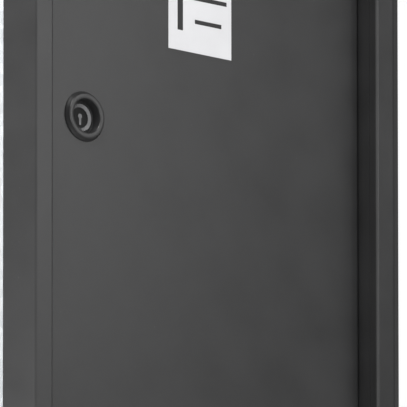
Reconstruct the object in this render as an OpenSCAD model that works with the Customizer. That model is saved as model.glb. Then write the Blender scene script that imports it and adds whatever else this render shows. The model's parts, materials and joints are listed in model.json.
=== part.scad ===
// Through-the-wall parcel drop box: a zinc-coated body sleeve between two splayed steel collars.
// The owner's side faces -Y and has the recessed, lockable removal door.
// The street side faces +Y and has the bottom-hinged intake hopper.
// The origin is at the middle of the bottom edges, +Z is up, and all sizes are in millimetres.

/* [Box] */
// Overall width across the collars
box_w = 385; // [340:1:460]
// Overall height of the collars
box_h = 600; // [560:1:760]
// Overall depth, from the owner's flange to the pull handle
box_d = 322; // [300:1:420]
// How far the pull handle and the drip rail stand out from the street flange
street_proud = 12; // [8:1:20]

/* [Collar] */
// Width of the flat flange, between its bend lines
flange_w = 17.2; // [15:0.1:26]
// How far the splayed edge runs outward
splay_out = 17.8; // [10:0.1:24]
// How far the splayed edge runs back
splay_back = 15.8; // [8:0.1:18]
// Sheet thickness of the collar
collar_t = 1.5; // [1:0.1:2]
// Outside radius of the bend between flange and splay
outer_bend_r = 4.5; // [3:0.1:6]
// Outside radius of the bend between flange and inner wall
inner_bend_r = 2; // [1.8:0.1:3.2]
// Distance of the groove in the inner wall behind the flange
groove_in = 3.3; // [3.2:0.1:4]
// Width of the groove
groove_w = 5.3; // [2:0.1:5.5]
// Depth of the groove
groove_d = 0.8; // [0.8:0.1:4]
// Depth of the inner wall
wall_depth = 32; // [31:1:33]
// Depth of the door face behind the flange
recess = 19; // [18:0.5:20]

/* [Removal door] */
// Gap all round the door
door_gap = 1.2; // [1.2:0.05:2.5]
// Sheet thickness of the door and of the hopper panel
door_t = 1.5; // [1.2:0.1:2]
// Depth of the folded edges of the door
door_fold = 12; // [10:0.5:13]
// Radius of the folds
fold_r = 2.2; // [1.8:0.1:3]
// Distance of the pivot axis from the door's right edge
pivot_in = 12; // [12:0.5:15]
// Distance of the pivot axis behind the door's face
pivot_back = 5; // [4.5:0.1:5.5]
// Diameter of every pivot pin
pin_d = 6; // [5:0.5:6]
// Radial clearance of a running pin
pin_play = 0.05; // [0.03:0.01:0.1]

/* [Lock] */
// Distance of the lock from the middle of the box
lock_x = -112; // [-114:0.5:-100]
// Height of the lock's axis
lock_z = 340; // [300:1:400]
// Diameter of the raised ring where it meets the door
shroud_base_d = 37.6; // [36:0.1:40]
// Diameter of the ring's rounded lip
shroud_d = 34.2; // [33:0.1:35]
// Height of the raised ring above the door
shroud_h = 3.7; // [3:0.1:5]
// Diameter of the recess inside the ring
shroud_bore = 25.4; // [24:0.1:26]
// Diameter of the threaded barrel behind the ring
barrel_d = 28; // [27.5:0.1:29]
// Length of the barrel behind the door's face
barrel_l = 16; // [14:0.5:17]
// Outside diameter of the lock's inner tube
tube_d = 20.8; // [20:0.1:22]
// Diameter of the turning spindle
spindle_d = 15.4; // [14:0.1:16]
// Length of the cam from the lock's axis to its tip
cam_reach = 36; // [34:0.5:38]

/* [Hopper] */
// Height of the hopper's bottom edge
hopper_z = 302; // [290:1:330]
// Radius of the side cheeks
cheek_r = 175; // [150:1:180]
// Angle between the hopper panel and its tray
tray_angle = 115; // [105:1:120]
// Sheet thickness of the cheeks and the tray
cheek_t = 2; // [1.5:0.1:2]
// Length of the pull handle
pull_w = 150; // [110:1:180]
// Diameter of the pull handle's bar
pull_d = 10; // [8:0.5:12]

/* [Body sleeve] */
// Sheet thickness of the sleeve
sleeve_t = 1.5; // [1.2:0.1:2]
// How far the sleeve's ends sit behind the flanges
sleeve_in = 14; // [12:1:18]
// Spacing of the wall fixings along the depth
fix_dy = 180; // [120:1:200]
// Spacing of the wall fixings along the height
fix_dz = 420; // [300:1:440]
// Diameter of the wall fixing holes
fix_d = 6.6; // [5.5:0.1:9]

/* [Label] */
// Width of the label
label_w = 61.2; // [50:0.1:70]
// Height of the label
label_h = 105; // [90:1:110]
// Distance of the label's middle from the middle of the box
label_x = 0.3; // [-10:0.1:10]
// Height of the label's bottom edge above the lock's axis
label_up = 65; // [60:0.1:70]

/* [Hidden] */
$fn = 64;
half_w = box_w / 2;
frame_in = flange_w + splay_out;          // collar width, outer edge to inner wall
open_w = half_w - frame_in;               // half width of the opening
open_z0 = frame_in;                       // bottom of the opening
open_z1 = box_h - frame_in;               // top of the opening
front_y = -box_d / 2;                     // plane of the owner's flange
street_y = box_d / 2 - street_proud;      // plane of the street flange
splay_a = atan2(splay_back, splay_out);   // slope of the splayed edge
sleeve_w = open_w + collar_t;             // half width inside the sleeve
sleeve_z0 = open_z0 - collar_t - sleeve_t; // underside of the sleeve
sleeve_z1 = open_z1 + collar_t + sleeve_t; // top of the sleeve

door_y = front_y + recess;                // face of the door
door_w = open_w - door_gap;               // half width of the door
door_z0 = open_z0 + door_gap;
door_z1 = open_z1 - door_gap;
pivot_x = door_w - pivot_in;
pivot_y = door_y + pivot_back;
pin_r = pin_d / 2;
swing_r = sqrt(pow(pivot_in, 2) + pow(door_fold - pivot_back, 2)); // reach of the fold
block_w = 18;                             // pivot block, width and depth
block_h = 14;
block_d = 8.5;
pin_head_r = 5.5;
pin_head_t = 2;

rebate_y = door_y + door_fold + 2.5;      // front face of the angles that the door closes on
rebate_leg = 14;
rebate_t = 2;
strike_t = 2;
cam_y = rebate_y + rebate_t + strike_t + 0.5;
cam_t = 2.5;
cam_w = 14;
square_w = 8;
floor_back = 5;                           // bottom of the ring's recess behind the door's face
tube_back = 3.8;                          // lock tube's end behind the door's face
disc_back = 4.9;                          // spindle's end behind the door's face
driver_back = 4.5;                        // driver's end behind the door's face
driver_r = 1.9;
driver_up = 1.1;                          // driver's round head above the lock's axis
bit_w = 2;
bit_l = 5.4;
tube_dish = 0.9;                          // depth of the dished end of the lock tube
nut_t = 5;

face_y = street_y - recess;               // face of the street panels
hinge_y = face_y - 7;                     // hopper axis
hinge_z = hopper_z + 8;
hopper_w = open_w - 2;                    // half width of the hopper panel
hopper_z1 = open_z1 - 2;
hopper_fold = 12;
cheek_x = hopper_w - door_t - cheek_t;    // inner face of a cheek
coil_x = cheek_x - 2;                     // outer end of the springs' turns
spring_leg = 32;                          // length of the springs' leg along the tray
tray_dir = 90 + tray_angle;               // tray direction, turned up from the street direction
hub_r = 8.5;
coil_r = 4.4;                             // torsion springs: radius, wire and pitch of the turns
wire = 1.6;
coil_step = 1.5;
coil_turns = 8;
panel_z1 = hopper_z - 4;                  // top of the fixed street panel
pull_z = hopper_z1 - 42;
pull_y = street_y + street_proud - pull_d / 2;

zinc = [0.72, 0.74, 0.75];
paint = [0.20, 0.21, 0.22];

// ---- general helpers ----

// A box between two opposite corners.
module span(a, b) {
    translate(a) cube(b - a);
}

// A cylinder along X, Y or Z from a starting point.
module rod_x(p, r, l) { translate(p) rotate([0, 90, 0]) cylinder(r = r, h = l); }
module rod_y(p, r, l) { translate(p) rotate([-90, 0, 0]) cylinder(r = r, h = l); }
module rod_z(p, r, l) { translate(p) cylinder(r = r, h = l); }

// Draws its children on both the left and the right.
module both_sides() {
    children();
    mirror([1, 0, 0]) children();
}

// Draws its children at the bottom and, turned over, at the top.
module both_ends() {
    children();
    translate([0, 0, box_h]) mirror([0, 0, 1]) children();
}

// Part of a ring of sheet, from angle a0 to angle a1, with its outside at radius r.
module bend_arc(r, t, a0, a1) {
    far = 3 * r;
    intersection() {
        difference() {
            circle(r = r);
            circle(r = r - t);
        }
        polygon([[0, 0], far * [cos(a0), sin(a0)],
            far * [cos((a0 + a1) / 2), sin((a0 + a1) / 2)], far * [cos(a1), sin(a1)]]);
    }
}

// A dome-headed fixing. Its head stands out in -Y and its shank, if any, runs in +Y.
module dome_y(r, h, shank_r = 0, shank_l = 0) {
    ball = (r * r + h * h) / (2 * h);
    rotate([90, 0, 0]) rotate_extrude() {
        intersection() {
            translate([0, h - ball]) circle(r = ball, $fn = 96);
            square([r + 1, h]);
        }
        if (shank_l > 0) translate([0, -shank_l]) square([shank_r, shank_l + h / 2]);
    }
}

// ---- collar ----

// Section of the collar: X runs outward from the inner wall, Y runs back from the flange.
module collar_section() {
    tangent = outer_bend_r * tan(splay_a / 2);
    splay_len = norm([splay_out, splay_back]) - tangent;
    translate([0, inner_bend_r]) difference() {
        union() {
            square([collar_t, wall_depth - inner_bend_r]);
            translate([0, groove_in - inner_bend_r - collar_t / 2])
                square([groove_d + collar_t, groove_w + collar_t]);
        }
        translate([-1, groove_in - inner_bend_r]) square([groove_d + 1, groove_w]);
        translate([-1, -collar_t]) square([groove_d + collar_t + 2, collar_t]);
    }
    translate([inner_bend_r, inner_bend_r]) bend_arc(inner_bend_r, collar_t, 180, 270);
    translate([inner_bend_r, 0]) square([flange_w - tangent - inner_bend_r, collar_t]);
    translate([flange_w - tangent, outer_bend_r])
        bend_arc(outer_bend_r, collar_t, 270, 270 + splay_a);
    translate([flange_w, 0]) rotate(splay_a) translate([tangent, 0])
        square([splay_len, collar_t]);
}

// One rail along Z at the left, cut to 45 degree mitres at both ends.
module side_rail(height, half_width) {
    intersection() {
        translate([-half_width, 0, 0]) mirror([1, 0, 0])
            linear_extrude(height) collar_section();
        translate([0, wall_depth + 1, 0]) rotate([90, 0, 0]) linear_extrude(wall_depth + 2)
            polygon([[-half_width - frame_in, 0], [-half_width - frame_in, height],
                [-half_width, height - frame_in], [-half_width, frame_in]]);
    }
}

module left_rail() { side_rail(box_h, open_w); }

// The bottom rail is a side rail of the box's width, laid on its side.
module bottom_rail() {
    translate([half_w, 0, box_h / 2]) rotate([0, -90, 0])
        side_rail(box_w, box_h / 2 - frame_in);
}

// Holes for the screws that hold a collar's side wall to the sleeve.
module side_screw_holes() {
    for (z = [90, 210, 390, 510])
        rod_x([-half_w, 27, z], 2.1, box_w);
}

module pivot_hole_cut(r) {
    rod_z([pivot_x, pivot_y, -1], r, box_h + 2);
}

module hopper_pin_cut(r) {
    rod_x([-half_w, hinge_y, hinge_z], r, box_w);
}

module front_place() { translate([0, front_y, 0]) children(); }
module street_place() { translate([0, street_y, 0]) mirror([0, 1, 0]) children(); }

module front_collar_left() {
    color(paint) front_place() difference() {
        left_rail();
        side_screw_holes();
    }
}

module front_collar_right() {
    color(paint) front_place() mirror([1, 0, 0]) difference() {
        left_rail();
        side_screw_holes();
    }
}

module front_collar_bottom() {
    color(paint) difference() {
        front_place() bottom_rail();
        pivot_hole_cut(pin_r);
    }
}

module front_collar_top() {
    color(paint) difference() {
        front_place() translate([0, 0, box_h]) mirror([0, 0, 1]) bottom_rail();
        pivot_hole_cut(pin_r);
    }
}

module street_collar_left() {
    color(paint) difference() {
        street_place() left_rail();
        street_place() side_screw_holes();
        hopper_pin_cut(pin_r);
    }
}

module street_collar_right() {
    color(paint) difference() {
        street_place() mirror([1, 0, 0]) left_rail();
        street_place() side_screw_holes();
        hopper_pin_cut(pin_r);
    }
}

module street_collar_bottom() {
    color(paint) street_place() bottom_rail();
}

module street_collar_top() {
    color(paint) street_place() translate([0, 0, box_h]) mirror([0, 0, 1]) bottom_rail();
}

// ---- removal door ----

// Section of a folded panel, seen from above, with its face on the X axis and its folds in +Y.
module folded_section(half_width, fold, t, r) {
    translate([-half_width + r, 0]) square([2 * (half_width - r), t]);
    for (side = [0, 1]) mirror([side, 0, 0]) {
        translate([-half_width + r, r]) bend_arc(r, t, 180, 270);
        translate([-half_width, r]) square([t, fold - r]);
    }
}

// A panel folded back on all four sides. Its face is in the plane y = 0.
module folded_panel(half_width, z0, z1, fold, t, r) {
    translate([0, 0, z0]) linear_extrude(z1 - z0) folded_section(half_width, fold, t, r);
    span([-half_width + t, 0, z0], [half_width - t, fold, z0 + t]);
    span([-half_width + t, 0, z1 - t], [half_width - t, fold, z1]);
}

module door_panel() {
    color(paint) difference() {
        translate([0, door_y, 0]) folded_panel(door_w, door_z0, door_z1, door_fold, door_t, fold_r);
        rod_y([lock_x, door_y - 1, lock_z], barrel_d / 2, door_fold + 2);
        pivot_hole_cut(pin_r + pin_play);
    }
}

// A hat section down the inside of the door.
module door_stiffener() {
    hat_w = 34;
    brim = 12;
    hat_h = 9;
    t = 1.2;
    z0 = door_z0 + 40;
    color(zinc) translate([20, door_y + door_t, z0]) linear_extrude(door_z1 - door_z0 - 80) {
        difference() {
            translate([-hat_w / 2, 0]) square([hat_w, hat_h]);
            translate([-hat_w / 2 + t, -1]) square([hat_w - 2 * t, hat_h - t + 1]);
        }
        for (side = [0, 1]) mirror([side, 0]) translate([hat_w / 2 - t, 0]) square([brim, t]);
    }
}

module door_pivot_blocks() {
    color(zinc) difference() {
        both_ends() span([pivot_x - block_w / 2, door_y + door_t, door_z0 + door_t],
            [pivot_x + block_w / 2, door_y + door_t + block_d, door_z0 + door_t + block_h]);
        pivot_hole_cut(pin_r + pin_play);
    }
}

// Pins welded flush into the sleeve's floor and top.
module door_pivot_pins() {
    pin_top = door_z0 + door_t + block_h - 1;
    color(zinc) both_ends()
        rod_z([pivot_x, pivot_y, sleeve_z0], pin_r, pin_top - sleeve_z0);
}

module door_pivot_washers() {
    color("white") both_ends() difference() {
        rod_z([pivot_x, pivot_y, open_z0], 6.5, door_gap - 0.15);
        rod_z([pivot_x, pivot_y, open_z0 - 1], pin_r, door_gap + 2);
    }
}

// ---- lock ----

// Half section of the shroud: X is the radius, Y runs back from the door's face.
// A flat-topped, round-edged lip stands on a base that flares out to the door.
module shroud_half_section() {
    edge_r = 1.3;
    lip_y = edge_r - shroud_h;
    lip_in = [shroud_bore / 2 + edge_r, lip_y];
    lip_out = [shroud_d / 2 - edge_r, lip_y];
    foot = [shroud_base_d / 2, -0.3];
    flare = foot - lip_out;
    a = atan2(flare[1], flare[0]) - acos(edge_r / norm(flare));
    difference() {
        union() {
            translate(lip_in) circle(r = edge_r + 0.05);
            translate(lip_out) circle(r = edge_r + 0.05);
            translate([lip_in[0], -shroud_h]) square([lip_out[0] - lip_in[0], shroud_h]);
            polygon([[tube_d / 2, lip_y], lip_out, lip_out + edge_r * [cos(a), sin(a)], foot,
                [foot[0], 0], [barrel_d / 2, 0], [barrel_d / 2, barrel_l],
                [tube_d / 2, barrel_l]]);
        }
        translate([0, -2 * shroud_h]) square([shroud_bore / 2, 2 * shroud_h + floor_back]);
        translate([0, -shroud_h - 1]) square([shroud_d, 1]);
    }
}

module lock_place() { translate([lock_x, door_y, lock_z]) rotate([-90, 0, 0]) children(); }

module lock_shroud() {
    color([0.10, 0.10, 0.11]) lock_place() rotate_extrude() shroud_half_section();
}

// The bright tube that the spindle turns in. Its dished end shows inside the ring.
module lock_tube() {
    bore_r = spindle_d / 2 + pin_play;
    color([0.7, 0.7, 0.7]) lock_place() rotate_extrude()
        polygon([[bore_r, tube_back + tube_dish], [tube_d / 2 - 0.2, tube_back],
            [tube_d / 2, tube_back + 0.2], [tube_d / 2, barrel_l], [bore_r, barrel_l]]);
}

module lock_nut() {
    color(zinc) lock_place() translate([0, 0, door_t]) difference() {
        cylinder(r = 19.5, h = nut_t, $fn = 6);
        translate([0, 0, -1]) cylinder(r = barrel_d / 2, h = nut_t + 2);
    }
}

// Outline of the driver: a round head with one flat bit below it, seen from the front.
module driver_outline() {
    translate([0, -driver_up]) circle(r = driver_r);
    translate([-bit_w / 2, -driver_up]) square([bit_w, bit_l + driver_up]);
}

module lock_spindle() {
    cam_local = cam_y - door_y;
    color([0.13, 0.13, 0.14]) lock_place() difference() {
        union() {
            translate([0, 0, disc_back]) cylinder(r = spindle_d / 2, h = cam_local - disc_back);
            translate([-square_w / 2, -square_w / 2, cam_local]) cube([square_w, square_w, cam_t]);
        }
        translate([0, 0, disc_back - 1]) linear_extrude(4) driver_outline();
        translate([0, 0, cam_local - 8]) cylinder(r = 2, h = 20);
    }
}

module lock_driver() {
    color([0.8, 0.8, 0.8]) lock_place() translate([0, 0, driver_back])
        linear_extrude(disc_back + 3 - driver_back) driver_outline();
}

// At rest the cam hangs straight down, clear of the strike plate.
module lock_cam() {
    color(zinc) translate([lock_x, cam_y, lock_z]) rotate([-90, 0, 0]) difference() {
        linear_extrude(cam_t) union() {
            circle(r = 10);
            translate([-cam_w / 2, 0]) square([cam_w, cam_reach - 3]);
            translate([-cam_w / 2 + 3, 0]) square([cam_w - 6, cam_reach]);
            for (side = [-1, 1]) translate([side * (cam_w / 2 - 3), cam_reach - 3]) circle(r = 3);
        }
        translate([-square_w / 2, -square_w / 2, -1]) cube([square_w, square_w, cam_t + 2]);
    }
}

module cam_screw() {
    color(zinc) translate([lock_x, cam_y + cam_t, lock_z]) rotate([-90, 0, 0]) {
        difference() {
            cylinder(r = 7, h = 3.6);
            translate([0, 0, 1.6]) cylinder(r = 2.6, h = 3, $fn = 6);
        }
        translate([0, 0, -cam_t - 7]) cylinder(r = 2, h = cam_t + 7);
    }
}

// ---- closing angles on the sleeve ----

// The angle behind the door's left edge.
module rebate_left() {
    color(zinc) {
        span([-sleeve_w, rebate_y, sleeve_z0 + sleeve_t + 30],
            [-sleeve_w + rebate_leg + collar_t, rebate_y + rebate_t, sleeve_z1 - sleeve_t - 30]);
        span([-sleeve_w, rebate_y, sleeve_z0 + sleeve_t + 30],
            [-sleeve_w + rebate_t, rebate_y + 22, sleeve_z1 - sleeve_t - 30]);
    }
}

// The angle that covers the gap beside the pivots, behind the swing of the door's fold.
module rebate_right() {
    y0 = pivot_y + swing_r + 1.1;
    color(zinc) mirror([1, 0, 0]) {
        span([-sleeve_w, y0, sleeve_z0 + sleeve_t + 30],
            [-sleeve_w + rebate_leg, y0 + rebate_t, sleeve_z1 - sleeve_t - 30]);
        span([-sleeve_w, y0, sleeve_z0 + sleeve_t + 30],
            [-sleeve_w + rebate_t, y0 + 16, sleeve_z1 - sleeve_t - 30]);
    }
}

module rebate_level() {
    x1 = pivot_x - 24;
    z0 = sleeve_z0 + sleeve_t;
    span([-sleeve_w + 20, rebate_y, z0], [x1, rebate_y + rebate_t, z0 + rebate_leg]);
    span([-sleeve_w + 20, rebate_y, z0], [x1, rebate_y + 18, z0 + rebate_t]);
}

module rebate_bottom() { color(zinc) rebate_level(); }

module rebate_top() {
    color(zinc) translate([0, 0, box_h]) mirror([0, 0, 1]) rebate_level();
}

module strike_plate() {
    y0 = rebate_y + rebate_t;
    color([0.55, 0.56, 0.57]) span([-sleeve_w + rebate_t, y0, lock_z - 26],
        [-sleeve_w + rebate_leg + collar_t, y0 + strike_t, lock_z + 26]);
}

// Foam strips on the angles. The door's folds stop just short of them.
module door_seal() {
    y0 = door_y + door_fold + 0.3;
    x0 = -sleeve_w + collar_t + 3;
    color([0.08, 0.08, 0.08]) {
        span([x0, y0, sleeve_z0 + 40], [x0 + 9, rebate_y, sleeve_z1 - 40]);
        both_ends() span([-sleeve_w + 22, y0, open_z0 + 3], [pivot_x - 26, rebate_y, open_z0 + 11]);
    }
}

module instruction_label() {
    z0 = lock_z + label_up;
    color("white") span([label_x - label_w / 2, door_y - 0.25, z0],
        [label_x + label_w / 2, door_y, z0 + label_h]);
}

// ---- body sleeve ----

module fix_holes() {
    for (y = [-fix_dy / 2, fix_dy / 2], z = [box_h / 2 - fix_dz / 2, box_h / 2 + fix_dz / 2])
        rod_x([-half_w, y, z], fix_d / 2, box_w);
}

module body_left() {
    color(zinc) difference() {
        span([-sleeve_w - sleeve_t, front_y + sleeve_in, sleeve_z0],
            [-sleeve_w, street_y - sleeve_in, sleeve_z1]);
        fix_holes();
        front_place() side_screw_holes();
        street_place() side_screw_holes();
        hopper_pin_cut(pin_r);
    }
}

module body_right() {
    mirror([1, 0, 0]) body_left();
}

module sleeve_level() {
    span([-sleeve_w, front_y + sleeve_in, sleeve_z0],
        [sleeve_w, street_y - sleeve_in, sleeve_z0 + sleeve_t]);
}

module body_floor() {
    color(zinc) difference() {
        sleeve_level();
        pivot_hole_cut(pin_r);
    }
}

module body_top() {
    color(zinc) difference() {
        translate([0, 0, box_h]) mirror([0, 0, 1]) sleeve_level();
        pivot_hole_cut(pin_r);
    }
}

// A ribbed rubber mat on the floor.
module parcel_mat() {
    mat_x = sleeve_w - 6;
    y0 = rebate_y + 26;
    y1 = street_y - recess - 20;
    z0 = sleeve_z0 + sleeve_t;
    color([0.09, 0.09, 0.09]) {
        span([-mat_x, y0, z0], [mat_x, y1, z0 + 2.5]);
        for (x = [-mat_x + 9 : 18 : mat_x - 9])
            span([x - 3, y0 + 4, z0 + 2], [x + 3, y1 - 4, z0 + 4]);
    }
}

// Bent lugs that key the sleeve into the mortar, on the outside of both side plates.
module mortar_lugs() {
    lug_w = 24;
    t = 2;
    color(zinc) both_sides() for (z = [170, 430]) {
        span([-sleeve_w - sleeve_t - t, -30, z - lug_w / 2],
            [-sleeve_w - sleeve_t, 10, z + lug_w / 2]);
        span([-half_w + 8, 8, z - lug_w / 2], [-sleeve_w - sleeve_t, 10, z + lug_w / 2]);
    }
}

module lug_rivets() {
    color(zinc) both_sides() for (z = [170, 430], y = [-22, -6])
        translate([-sleeve_w - sleeve_t - 2, y, z]) rotate([0, 0, -90]) dome_y(3.5, 1.6);
}

// A sloping plate that keeps hands out of the parcel space when the hopper is open.
module baffle_plate() {
    y_top = hinge_y - 60;
    z_top = sleeve_z1 - sleeve_t;
    drop = 128;
    lean = 34;
    t = 1.5;
    color(zinc) {
        span([-sleeve_w + 6, y_top - 4, z_top - t], [sleeve_w - 6, y_top + 22, z_top]);
        translate([-sleeve_w + 6, y_top, z_top - t]) rotate([-lean, 0, 0]) translate([0, -t, -drop])
            cube([2 * sleeve_w - 12, t, drop]);
    }
}

module baffle_rivets() {
    y = hinge_y - 60 + 12;
    color(zinc) for (x = [-110 : 55 : 110])
        translate([x, y, sleeve_z1]) rotate([-90, 0, 0]) dome_y(3.5, 1.6);
}

// Countersunk-style button screws through the collar walls into the sleeve, on both collars.
module collar_screws() {
    color(zinc) for (side = [0, 1]) mirror([side, 0, 0]) for (z = [90, 210, 390, 510]) {
        translate([-sleeve_w - sleeve_t, front_y + 27, z]) rotate([0, 0, -90]) dome_y(4, 1.8, 2.1, 3);
        translate([-sleeve_w - sleeve_t, street_y - 27, z]) rotate([0, 0, -90]) dome_y(4, 1.8, 2.1, 3);
    }
}

// ---- street side ----

module street_panel() {
    color(paint) difference() {
        translate([0, face_y, 0]) mirror([0, 1, 0])
            folded_panel(open_w, open_z0, panel_z1, 20, door_t, fold_r);
        both_sides() rod_z([-coil_x + wire / 2, hinge_y - coil_r, panel_z1 - 5], 1.2, 10);
    }
}

module street_panel_screws() {
    color([0.35, 0.36, 0.37]) for (x = [-130, 130], z = [open_z0 + 22, panel_z1 - 22])
        translate([x, face_y, z]) rotate([0, 0, 180]) dome_y(5, 2.4);
}

// A folded strip over the street opening that throws rain clear of the hopper.
module drip_rail() {
    z0 = open_z1 + 4;
    x1 = open_w + 8;
    lip = street_y + street_proud;
    color(paint) {
        span([-x1, street_y, z0], [x1, street_y + 1.5, z0 + 11]);
        span([-x1, street_y, z0], [x1, lip - 1.5, z0 + 1.5]);
        span([-x1, lip - 1.5, z0 - 6], [x1, lip, z0 + 1.5]);
    }
}

module hopper_panel() {
    color(paint) difference() {
        translate([0, face_y, 0]) mirror([0, 1, 0])
            folded_panel(hopper_w, hopper_z, hopper_z1, hopper_fold, door_t, fold_r);
        hopper_pin_cut(pin_r + pin_play);
        both_sides() span([-cheek_x, face_y - hopper_fold - 1, hopper_z - 1],
            [-cheek_x + 18, face_y - fold_r - 1, hopper_z + door_t + 1]);
    }
}

// A side cheek: a slice of a disc between the panel and the tray, with a hub round the pin.
// The hub is cut flat where it sits on the panel's bottom fold.
module cheek_outline() {
    far = 2 * cheek_r;
    mid = 90 + tray_angle / 2;
    panel_back = hinge_y - face_y + fold_r;
    difference() {
        union() {
            intersection() {
                circle(r = cheek_r);
                polygon([[0, 0], far * [cos(90), sin(90)], far * [cos(mid), sin(mid)],
                    far * [cos(tray_dir), sin(tray_dir)]]);
            }
            circle(r = hub_r);
            translate([0, -2]) square([-panel_back, cheek_r]);
        }
        translate([-panel_back, -far]) square([far, 2 * far]);
        translate([-hub_r, hopper_z + door_t - hinge_z - far]) square([far, far]);
    }
}

module cheek_at(x) {
    color(paint) difference() {
        translate([x, hinge_y, hinge_z]) rotate([90, 0, 90]) linear_extrude(cheek_t) cheek_outline();
        hopper_pin_cut(pin_r + pin_play);
    }
}

module hopper_cheek_left() { cheek_at(-cheek_x - cheek_t); }
module hopper_cheek_right() { cheek_at(cheek_x); }

module hopper_tray() {
    inner = 20;
    hook_x = coil_x - wire / 2 - (coil_turns - 1) * coil_step;
    color(paint) translate([0, hinge_y, hinge_z]) rotate([tray_dir, 0, 0]) difference() {
        union() {
            translate([-cheek_x, inner, 0]) cube([2 * cheek_x, cheek_r - inner - 1, cheek_t]);
            translate([-cheek_x, cheek_r - 13, 0]) cube([2 * cheek_x, cheek_t, 10]);
        }
        both_sides() rod_z([hook_x, spring_leg - 0.7, -1], 1.3, cheek_t + 2);
    }
}

// Pull handle: a round bar on two posts.
module hopper_pull() {
    post_x = pull_w / 2 - pull_d;
    color([0.75, 0.75, 0.76]) {
        rod_x([-pull_w / 2 + pull_d / 2, pull_y, pull_z], pull_d / 2, pull_w - pull_d);
        both_sides() translate([pull_w / 2 - pull_d / 2, pull_y, pull_z]) sphere(r = pull_d / 2);
        both_sides() rod_y([post_x, face_y, pull_z], pull_d / 2 - 0.5, pull_y - face_y);
        both_sides() rod_y([post_x, face_y, pull_z], pull_d / 2 + 2.5, 3);
    }
}

module pull_screws() {
    post_x = pull_w / 2 - pull_d;
    color(zinc) both_sides() translate([post_x, face_y - door_t, pull_z]) dome_y(4.5, 2.4);
}

module cheek_rivets() {
    color(zinc) both_sides() for (z = [50, 110, 160])
        translate([-hopper_w, face_y - 8.2, hinge_z + z]) rotate([0, 0, -90]) dome_y(2.6, 1);
}

module hopper_pivot_pins() {
    reach = sleeve_w + sleeve_t - 129;
    color(zinc) both_sides() {
        rod_x([-sleeve_w - sleeve_t - pin_head_t, hinge_y, hinge_z], pin_r, reach + pin_head_t);
        rod_x([-sleeve_w - sleeve_t - pin_head_t, hinge_y, hinge_z], pin_head_r, pin_head_t);
    }
}

module hopper_washers() {
    gap = open_w - hopper_w;
    color("white") both_sides() difference() {
        rod_x([-open_w, hinge_y, hinge_z], 6, gap - 0.15);
        rod_x([-open_w - 1, hinge_y, hinge_z], pin_r, gap + 2);
    }
}

// Torsion springs on the pins. One leg goes down through the fixed panel and the other runs
// under the tray and hooks up through it.
module hopper_springs() {
    leg_r = 0.7;
    fixed_x = -coil_x + wire / 2;
    color([0.5, 0.5, 0.52]) both_sides() {
        translate([fixed_x, hinge_y, hinge_z]) rotate([0, 90, 0]) rotate_extrude()
            for (i = [0 : coil_turns - 1]) translate([coil_r, i * coil_step])
                circle(d = wire, $fn = 24);
        rod_z([fixed_x, hinge_y - coil_r, panel_z1 - 8], leg_r, hinge_z - panel_z1 + 8);
        translate([fixed_x + (coil_turns - 1) * coil_step, hinge_y, hinge_z])
            rotate([tray_dir, 0, 0]) {
                rod_y([0, 0, coil_r], leg_r, spring_leg);
                rod_z([0, spring_leg - leg_r, -1.6], leg_r, coil_r + 1.6);
            }
    }
}

// Brackets under the sleeve's top that the hopper closes on.
module hopper_stops() {
    y0 = face_y - hopper_fold - 6;
    z1 = sleeve_z1 - sleeve_t;
    color(zinc) both_sides() {
        span([-120, y0, z1 - 20], [-90, y0 + 2, z1]);
        span([-120, y0 - 16, z1 - 2], [-90, y0, z1]);
    }
}

module stop_buffers() {
    y0 = face_y - hopper_fold - 4;
    color([0.08, 0.08, 0.08]) both_sides()
        rod_y([-105, y0, sleeve_z1 - sleeve_t - 12.5], 5, 3.7);
}

module name_frame() {
    w = 92;
    h = 30;
    z = 250;
    color([0.75, 0.75, 0.76]) difference() {
        span([-w / 2, face_y, z - h / 2], [w / 2, face_y + 3, z + h / 2]);
        span([-w / 2 + 5, face_y + 1, z - h / 2 + 5], [w / 2 - 5, face_y + 4, z + h / 2 - 5]);
    }
}

module name_card() {
    color("white") span([-40, face_y + 1, 241], [40, face_y + 1.6, 259]);
}

front_collar_left();
front_collar_right();
front_collar_top();
front_collar_bottom();
door_panel();
door_stiffener();
door_pivot_blocks();
door_pivot_pins();
door_pivot_washers();
lock_shroud();
lock_tube();
lock_nut();
lock_spindle();
lock_driver();
lock_cam();
cam_screw();
strike_plate();
rebate_left();
rebate_right();
rebate_top();
rebate_bottom();
door_seal();
instruction_label();
body_left();
body_right();
body_top();
body_floor();
parcel_mat();
mortar_lugs();
lug_rivets();
baffle_plate();
baffle_rivets();
collar_screws();
street_collar_left();
street_collar_right();
street_collar_top();
street_collar_bottom();
street_panel();
street_panel_screws();
drip_rail();
hopper_panel();
hopper_cheek_left();
hopper_cheek_right();
hopper_tray();
hopper_pull();
pull_screws();
cheek_rivets();
hopper_pivot_pins();
hopper_washers();
hopper_springs();
hopper_stops();
stop_buffers();
name_frame();
name_card();
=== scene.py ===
"""Looks of the parcel drop box: materials, edge softening, printed label, springs, light and camera."""
import json
import math

import bmesh
import bpy
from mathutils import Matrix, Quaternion, Vector


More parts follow.
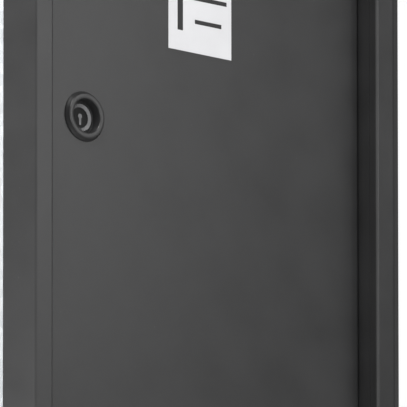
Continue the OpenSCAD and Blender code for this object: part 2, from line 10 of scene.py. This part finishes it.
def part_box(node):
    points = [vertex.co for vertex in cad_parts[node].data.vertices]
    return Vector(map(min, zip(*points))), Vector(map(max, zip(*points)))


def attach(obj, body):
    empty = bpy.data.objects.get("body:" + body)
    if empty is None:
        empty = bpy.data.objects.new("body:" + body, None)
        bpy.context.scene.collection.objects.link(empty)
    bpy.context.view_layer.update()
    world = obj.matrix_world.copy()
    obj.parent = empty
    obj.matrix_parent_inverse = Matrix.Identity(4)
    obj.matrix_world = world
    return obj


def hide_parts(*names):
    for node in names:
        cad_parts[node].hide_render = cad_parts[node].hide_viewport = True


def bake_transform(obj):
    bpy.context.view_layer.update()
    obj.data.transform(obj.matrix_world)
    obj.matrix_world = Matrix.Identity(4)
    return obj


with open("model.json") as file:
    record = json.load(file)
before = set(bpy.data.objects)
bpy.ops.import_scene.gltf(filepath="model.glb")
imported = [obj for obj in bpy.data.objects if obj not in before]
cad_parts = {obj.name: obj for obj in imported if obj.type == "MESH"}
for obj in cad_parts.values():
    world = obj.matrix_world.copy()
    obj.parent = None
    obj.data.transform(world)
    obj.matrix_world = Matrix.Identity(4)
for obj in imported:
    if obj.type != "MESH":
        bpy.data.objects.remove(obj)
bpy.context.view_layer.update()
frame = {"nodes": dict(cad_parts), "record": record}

NODES = frame["nodes"]
MM = 0.001

# ---- camera: long lens, to the left of the door and looking up ----

VIEW_LEFT = math.radians(41.0)     # how far it stands to the left of the door's normal
VIEW_UP = math.radians(13.34)      # how far the camera looks upward
VIEW_ROLL = math.radians(0.047)
LENS_MM = 1700.0                   # a longer lens would put other views past their clip distance
SENSOR_MM = 36.0
FRAME_WIDTH = 0.2989               # width of the picture at the aim point, metres
AIM_FROM_LOCK = Vector((0.0993, 0.0, -0.0535))


def make_camera():
    lo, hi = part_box("lock_shroud")
    aim = (lo + hi) / 2 + AIM_FROM_LOCK
    aim.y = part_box("front_collar_left")[0].y
    along = Vector((math.sin(VIEW_LEFT) * math.cos(VIEW_UP),
                    math.cos(VIEW_LEFT) * math.cos(VIEW_UP), math.sin(VIEW_UP)))
    data = bpy.data.cameras.new("camera")
    data.lens = LENS_MM
    data.sensor_width = SENSOR_MM
    data.clip_start = 0.1
    data.clip_end = 60.0
    cam = bpy.data.objects.new("camera", data)
    cam.rotation_mode = "QUATERNION"
    roll = Quaternion(along, VIEW_ROLL)
    cam.rotation_quaternion = roll @ along.to_track_quat("-Z", "Y")
    cam.location = aim - along * (FRAME_WIDTH * LENS_MM / SENSOR_MM)
    bpy.context.scene.collection.objects.link(cam)
    bpy.context.scene.camera = cam


# ---- node material helpers ----

class Nodes:
    """A short way to write a node tree."""

    def __init__(self, tree):
        self.tree = tree

    def add(self, kind, **settings):
        node = self.tree.nodes.new(kind)
        for key, value in settings.items():
            setattr(node, key, value)
        return node

    def link(self, out, into):
        self.tree.links.new(out, into)

    def coords(self, scale=(1, 1, 1)):
        texco = self.add("ShaderNodeTexCoord")
        mapping = self.add("ShaderNodeMapping")
        mapping.inputs["Scale"].default_value = scale
        self.link(texco.outputs["Object"], mapping.inputs["Vector"])
        return mapping.outputs["Vector"]

    def noise(self, vector, scale, detail=4.0, rough=0.55):
        node = self.add("ShaderNodeTexNoise")
        node.inputs["Scale"].default_value = scale
        node.inputs["Detail"].default_value = detail
        node.inputs["Roughness"].default_value = rough
        self.link(vector, node.inputs["Vector"])
        return node.outputs["Fac"]

    def voronoi(self, vector, scale):
        node = self.add("ShaderNodeTexVoronoi", feature="F1")
        node.inputs["Scale"].default_value = scale
        self.link(vector, node.inputs["Vector"])
        return node.outputs["Color"]

    def spread(self, value, low, high, to_low, to_high):
        node = self.add("ShaderNodeMapRange")
        for name, number in (("From Min", low), ("From Max", high),
                             ("To Min", to_low), ("To Max", to_high)):
            node.inputs[name].default_value = number
        self.link(value, node.inputs["Value"])
        return node.outputs["Result"]

    def math(self, kind, a, b):
        node = self.add("ShaderNodeMath", operation=kind)
        for slot, value in zip(node.inputs, (a, b)):
            if isinstance(value, (int, float)):
                slot.default_value = value
            else:
                self.link(value, slot)
        return node.outputs["Value"]

    def mix(self, factor, a, b):
        node = self.add("ShaderNodeMix", data_type="RGBA")
        self.link(factor, node.inputs["Factor"])
        for slot, value in ((node.inputs[6], a), (node.inputs[7], b)):
            if isinstance(value, tuple):
                slot.default_value = (*value, 1.0)
            else:
                self.link(value, slot)
        return node.outputs[2]

    def bump(self, height, strength, distance, below=None):
        node = self.add("ShaderNodeBump")
        node.inputs["Strength"].default_value = strength
        node.inputs["Distance"].default_value = distance
        self.link(height, node.inputs["Height"])
        if below is not None:
            self.link(below, node.inputs["Normal"])
        return node.outputs["Normal"]


def new_material(name, metallic=0.0):
    mat = bpy.data.materials.new(name)
    mat.use_nodes = True
    shader = mat.node_tree.nodes["Principled BSDF"]
    shader.inputs["Metallic"].default_value = metallic
    shader.inputs["IOR"].default_value = 1.5
    return mat, Nodes(mat.node_tree), shader


def grey(value):
    return (value, value, value * 1.02)


def powder_coat(name="powder_coat", tone=0.023, rough=0.36):
    """Dark fine-texture powder coat: soft clouding, a fine orange peel and a few faint specks."""
    mat, n, shader = new_material(name)
    v = n.coords()
    cloud = n.noise(v, 26.0, 3.0, 0.5)
    small = n.noise(v, 95.0, 3.0, 0.55)
    specks = n.spread(n.noise(v, 330.0, 1.0, 0.5), 0.77, 0.82, 0.0, 1.0)
    base = n.mix(n.spread(cloud, 0.3, 0.7, 0.0, 1.0), grey(tone * 0.84), grey(tone * 1.16))
    base = n.mix(n.spread(small, 0.3, 0.7, 0.0, 0.30), base, grey(tone * 1.25))
    n.link(n.mix(specks, base, grey(tone * 1.7)), shader.inputs["Base Color"])
    n.link(n.spread(cloud, 0.25, 0.75, rough - 0.03, rough + 0.04), shader.inputs["Roughness"])
    peel = n.bump(n.noise(v, 700.0, 2.0, 0.5), 0.06, 0.0003)
    n.link(n.bump(n.noise(v, 45.0, 2.0, 0.5), 0.05, 0.0006, peel), shader.inputs["Normal"])
    return mat


def zinc_sheet():
    """Hot-dipped sheet: grains of slightly different brightness and gloss."""
    mat, n, shader = new_material("zinc_sheet", metallic=0.9)
    v = n.coords()
    warp = n.add("ShaderNodeVectorMath", operation="ADD")
    wobble = n.add("ShaderNodeTexNoise")
    wobble.inputs["Scale"].default_value = 60.0
    n.link(v, wobble.inputs["Vector"])
    shrink = n.add("ShaderNodeVectorMath", operation="SCALE")
    shrink.inputs["Scale"].default_value = 0.012
    n.link(wobble.outputs["Color"], shrink.inputs[0])
    n.link(v, warp.inputs[0])
    n.link(shrink.outputs["Vector"], warp.inputs[1])
    grain = n.voronoi(warp.outputs["Vector"], 120.0)
    split = n.add("ShaderNodeSeparateColor")
    n.link(grain, split.inputs["Color"])
    n.link(n.mix(split.outputs["Red"], (0.54, 0.56, 0.58), (0.66, 0.68, 0.70)),
           shader.inputs["Base Color"])
    n.link(n.spread(split.outputs["Green"], 0.0, 1.0, 0.34, 0.52), shader.inputs["Roughness"])
    n.link(n.bump(n.noise(v, 500.0, 2.0), 0.06, 0.0003), shader.inputs["Normal"])
    return mat


def brushed(name, tone, rough, along):
    """Drawn or brushed steel with fine lines across one direction."""
    mat, n, shader = new_material(name, metallic=1.0)
    lines = n.noise(n.coords(along), 300.0, 3.0, 0.6)
    n.link(n.mix(lines, grey(tone * 0.85), grey(tone * 1.1)), shader.inputs["Base Color"])
    n.link(n.spread(lines, 0.3, 0.7, rough - 0.06, rough + 0.08), shader.inputs["Roughness"])
    n.link(n.bump(lines, 0.08, 0.0001), shader.inputs["Normal"])
    return mat


def soft_plastic(name, tone, rough, scale=900.0, bump=0.15, gloss=0.5):
    """Rubber, foam, nylon or film: one tone with fine surface grain."""
    mat, n, shader = new_material(name)
    shader.inputs["Specular IOR Level"].default_value = gloss
    v = n.coords()
    grain = n.noise(v, scale, 3.0)
    n.link(n.mix(n.noise(v, 40.0), grey(tone * 0.93), grey(tone * 1.06)), shader.inputs["Base Color"])
    n.link(n.spread(grain, 0.3, 0.7, rough - 0.05, rough + 0.05), shader.inputs["Roughness"])
    n.link(n.bump(grain, bump, 0.0003), shader.inputs["Normal"])
    return mat


# ---- CAD nodes: soft edges and materials ----

def soften(obj, width):
    """Rounds the hard edges of a CAD node for looks, with modifiers only; width in mm."""
    mesh = obj.data
    if "custom_normal" in mesh.attributes:
        mesh.attributes.remove(mesh.attributes["custom_normal"])
    mesh.shade_smooth()
    weld = obj.modifiers.new("weld", "WELD")
    weld.merge_threshold = 1e-5
    bevel = obj.modifiers.new("edge", "BEVEL")
    bevel.width = width * MM
    bevel.segments = 3
    bevel.limit_method = "ANGLE"
    bevel.angle_limit = math.radians(35)
    bevel.harden_normals = True
    bevel.use_clamp_overlap = True


def dress(mat, names, width):
    """Puts a material on the named nodes and softens their edges; a width of 0 leaves them sharp."""
    for name in names.split():
        obj = NODES[name]
        obj.data.materials.clear()
        obj.data.materials.append(mat)
        if width:
            soften(obj, width)


def dress_all():
    coat = powder_coat()
    # the collars' bends are real radii already, and a bevel throws spikes at their mitres
    dress(coat, """front_collar_left front_collar_right front_collar_top front_collar_bottom
        street_collar_left street_collar_right street_collar_top street_collar_bottom""", 0.0)
    dress(coat, "street_panel drip_rail door_panel hopper_panel", 0.4)
    dress(powder_coat("powder_coat_inner", 0.035, 0.42),
          "hopper_cheek_left hopper_cheek_right hopper_tray", 0.4)
    zinc = zinc_sheet()
    dress(zinc, """body_left body_right body_top body_floor baffle_plate rebate_left
        rebate_right rebate_top rebate_bottom mortar_lugs hopper_stops door_pivot_blocks""", 0.3)
    dress(zinc, "door_stiffener", 0.2)
    dress(brushed("plated_steel", 0.56, 0.32, (1, 1, 1)), """strike_plate lock_nut lock_cam
        cam_screw door_pivot_pins hopper_pivot_pins lug_rivets baffle_rivets collar_screws
        street_panel_screws pull_screws cheek_rivets""", 0.2)
    dress(brushed("satin_steel", 0.60, 0.28, (1, 20, 20)), "hopper_pull name_frame", 0.4)
    dress(powder_coat("die_cast", 0.022, 0.33), "lock_shroud", 0.3)
    dress(soft_plastic("spindle_face", 0.012, 0.55, 700.0, 0.1, 0.2), "lock_spindle", 0.2)
    dress(brushed("lock_tube_face", 0.26, 0.30, (1, 1, 1)), "lock_tube", 0.0)
    dress(brushed("bright_steel", 0.14, 0.36, (1, 1, 1)), "lock_driver", 0.3)
    dress(soft_plastic("foam_seal", 0.02, 0.85, 1500.0, 0.5), "door_seal", 0.5)
    dress(soft_plastic("black_rubber", 0.022, 0.6), "parcel_mat stop_buffers", 0.4)
    dress(soft_plastic("white_nylon", 0.72, 0.4), "door_pivot_washers hopper_washers", 0.2)
    dress(soft_plastic("label_film", 0.69, 0.45, 1200.0, 0.05), "instruction_label name_card", 0.0)


# ---- made pieces ----

def new_piece(name, bm, mat, body=None):
    mesh = bpy.data.meshes.new(name)
    bm.to_mesh(mesh)
    bm.free()
    mesh.materials.append(mat)
    obj = bpy.data.objects.new(name, mesh)
    bpy.context.scene.collection.objects.link(obj)
    if body:
        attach(obj, body)
    return obj


def flat_print(bm, outline, y, thick):
    """A thin solid of ink with the given outline of (x, z) points, its face toward -Y."""
    front = [bm.verts.new((x, y - thick, z)) for x, z in outline]
    back = [bm.verts.new((x, y, z)) for x, z in outline]
    bm.faces.new(front)
    bm.faces.new(list(reversed(back)))
    for i in range(len(outline)):
        j = (i + 1) % len(outline)
        bm.faces.new((front[j], front[i], back[i], back[j]))


def bar(x0, x1, z0, z1):
    return [(x0, z0), (x1, z0), (x1, z1), (x0, z1)]


def make_label_print():
    """A plain up arrow and two plain bars in place of any words."""
    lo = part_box("instruction_label")[0]
    ink = soft_plastic("label_ink", 0.028, 0.5, 900.0, 0.05, 0.3)
    ink_thick = 0.04 * MM
    shaft_x0, shaft_x1, head_half = 8.7 * MM, 14.0 * MM, 6.5 * MM
    shaft_z0, head_z, tip_z = 15.3 * MM, 78 * MM, 92 * MM
    middle = (shaft_x0 + shaft_x1) / 2
    arrow = [(shaft_x0, shaft_z0), (shaft_x1, shaft_z0), (shaft_x1, head_z),
             (middle + head_half, head_z), (middle, tip_z), (middle - head_half, head_z),
             (shaft_x0, head_z)]
    shapes = [arrow]
    bar_height = 3.2 * MM
    for left, right, base in ((25.6, 51.5, 22.2), (20.8, 56.6, 40.0)):
        shapes.append(bar(left * MM, right * MM, base * MM, base * MM + bar_height))
    bm = bmesh.new()
    for shape in shapes:
        flat_print(bm, [(lo.x + x, lo.z + z) for x, z in shape], lo.y, ink_thick)
    bmesh.ops.recalc_face_normals(bm, faces=bm.faces)
    new_piece("label_print", bm, ink, "door")


def tube(bm, path, radius):
    """A round wire swept along a list of points, closed at both ends."""
    sides = 12
    rings = []
    up = Vector((0.0, 0.3, 1.0)).normalized()
    for i, point in enumerate(path):
        ahead = (path[min(i + 1, len(path) - 1)] - path[max(i - 1, 0)]).normalized()
        up = (up - ahead * up.dot(ahead)).normalized()
        side = ahead.cross(up)
        rings.append([bm.verts.new(point + radius * (math.cos(a) * up + math.sin(a) * side))
                      for a in (math.tau * k / sides for k in range(sides))])
    for near, far in zip(rings, rings[1:]):
        for k in range(sides):
            m = (k + 1) % sides
            bm.faces.new((near[k], near[m], far[m], far[k]))
    bm.faces.new(list(reversed(rings[0])))
    bm.faces.new(rings[-1])


def bend_points(corner, before, after, radius):
    """Points of a rounded corner between two directions, for a wire path."""
    steps = 6
    a, b = corner + before * radius, corner + after * radius
    return [a.lerp(corner, t).lerp(corner.lerp(b, t), t) for t in
            (k / steps for k in range(steps + 1))]


def make_springs():
    """Two torsion springs with real turns, wound round the hopper's pivot between the body and the
    hopper.
    """
    joint = next(j for j in frame["record"]["behaviour"]["joints"] if j["name"] == "hopper_tilt")
    axis = Vector(joint["pos_m"])
    lo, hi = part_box("hopper_springs")
    wire_r, coil_r, length = 0.76 * MM, 4.4 * MM, 10.5 * MM
    tray_slope = math.radians(205.0)
    leg, hook, hook_bend = 31.3 * MM, 6.0 * MM, 1.6 * MM
    end_in, leg_top = 0.8 * MM, 6.0 * MM
    turns = 6 + 245.0 / 360.0
    points_per_turn = 28
    along = Vector((0.0, math.cos(tray_slope), math.sin(tray_slope)))
    under = Vector((0.0, -math.sin(tray_slope), math.cos(tray_slope)))
    steel = brushed("spring_steel", 0.34, 0.36, (1, 1, 1))
    for name, side in (("left", -1.0), ("right", 1.0)):
        x0 = side * (hi.x - end_in)
        x1 = x0 - side * length
        path = [Vector((x0, axis.y - coil_r, lo.z)),
                Vector((x0, axis.y - coil_r, axis.z - leg_top))]
        steps = int(turns * points_per_turn)
        for k in range(steps + 1):
            angle = math.pi - math.tau * turns * k / steps
            path.append(Vector((x0 + (x1 - x0) * k / steps, axis.y + coil_r * math.cos(angle),
                                axis.z + coil_r * math.sin(angle))))
        corner = Vector((x1, axis.y, axis.z)) + under * coil_r + along * leg
        path += bend_points(corner, -along, -under, hook_bend)
        path.append(corner - under * hook)
        bm = bmesh.new()
        tube(bm, path, wire_r)
        bmesh.ops.recalc_face_normals(bm, faces=bm.faces)
        piece = new_piece("hopper_spring_" + name, bm, steel)
        piece.data.shade_smooth()
        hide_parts("hopper_springs")
        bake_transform(piece)


# ---- light, floor and background ----

ROOM_BRIGHT_SIDE = (-0.68, -0.68, -0.28)
ROOM_DARK, ROOM_BRIGHT, ROOM_RISE = 0.14, 0.90, 1.5


def aim_at(obj, target):
    obj.rotation_mode = "QUATERNION"
    obj.rotation_quaternion = (target - obj.location).to_track_quat("-Z", "Y")


def area_light(name, place, target, size, power):
    data = bpy.data.lights.new(name, "AREA")
    data.shape = "RECTANGLE"
    data.size, data.size_y = size
    data.energy = power
    obj = bpy.data.objects.new(name, data)
    obj.location = place
    obj.visible_camera = False
    bpy.context.scene.collection.objects.link(obj)
    aim_at(obj, target)


def make_light():
    """A softbox that the door mirrors, a high key at front left, a low fill, a rim and a back light."""
    door = Vector((0.0, -0.15, 0.35))
    area_light("mirrored", Vector((0.40, -0.95, 0.66)), door, (0.35, 0.70), 2.0)
    area_light("key", Vector((-0.9, -0.9, 1.9)), door, (0.8, 0.8), 22.0)
    area_light("low", Vector((-1.0, -1.4, 0.08)), door, (0.5, 0.3), 4.0)
    area_light("rim", Vector((1.1, 1.5, 0.4)), door, (0.8, 1.2), 6.0)
    area_light("back", Vector((-0.6, 1.9, 1.3)), Vector((0.0, 0.1, 0.3)), (1.6, 1.6), 50.0)


def make_world():
    """White behind the object for the camera, and for light a soft room brightest at front left."""
    world = bpy.data.worlds.new("studio")
    bpy.context.scene.world = world
    world.use_nodes = True
    n = Nodes(world.node_tree)
    out = world.node_tree.nodes["World Output"]
    seen = world.node_tree.nodes["Background"]
    seen.inputs["Color"].default_value = (1, 1, 1, 1)
    seen.inputs["Strength"].default_value = 1.0
    texco = n.add("ShaderNodeTexCoord")
    dot = n.add("ShaderNodeVectorMath", operation="DOT_PRODUCT")
    n.link(texco.outputs["Generated"], dot.inputs[0])
    dot.inputs[1].default_value = ROOM_BRIGHT_SIDE
    fill = n.add("ShaderNodeBackground")
    fill.inputs["Color"].default_value = (1, 1, 1, 1)
    rise = n.math("POWER", n.spread(dot.outputs["Value"], -0.9, 0.95, 0.0, 1.0), ROOM_RISE)
    n.link(n.spread(rise, 0.0, 1.0, ROOM_DARK, ROOM_BRIGHT), fill.inputs["Strength"])
    path = n.add("ShaderNodeLightPath")
    mix = n.add("ShaderNodeMixShader")
    n.link(path.outputs["Is Camera Ray"], mix.inputs["Fac"])
    n.link(fill.outputs["Background"], mix.inputs[1])
    n.link(seen.outputs["Background"], mix.inputs[2])
    n.link(mix.outputs["Shader"], out.inputs["Surface"])


def make_floor():
    radius, thick, sides, gap = 0.65, 0.02, 96, 0.0002
    bm = bmesh.new()
    bmesh.ops.create_cone(bm, cap_ends=True, segments=sides, radius1=radius, radius2=radius, depth=thick)
    bmesh.ops.translate(bm, verts=bm.verts, vec=(0, 0, -thick / 2 - gap))
    mesh = bpy.data.meshes.new("floor")
    bm.to_mesh(mesh)
    bm.free()
    mat, n, shader = new_material("floor")
    n.link(n.mix(n.noise(n.coords(), 6.0), (0.84, 0.84, 0.84), (0.88, 0.88, 0.88)),
           shader.inputs["Base Color"])
    shader.inputs["Roughness"].default_value = 0.9
    mesh.materials.append(mat)
    obj = bpy.data.objects.new("floor", mesh)
    bpy.context.scene.collection.objects.link(obj)


make_camera()
make_world()
make_light()
make_floor()
dress_all()
make_label_print()
make_springs()

bpy.context.scene.view_settings.view_transform = "Standard"
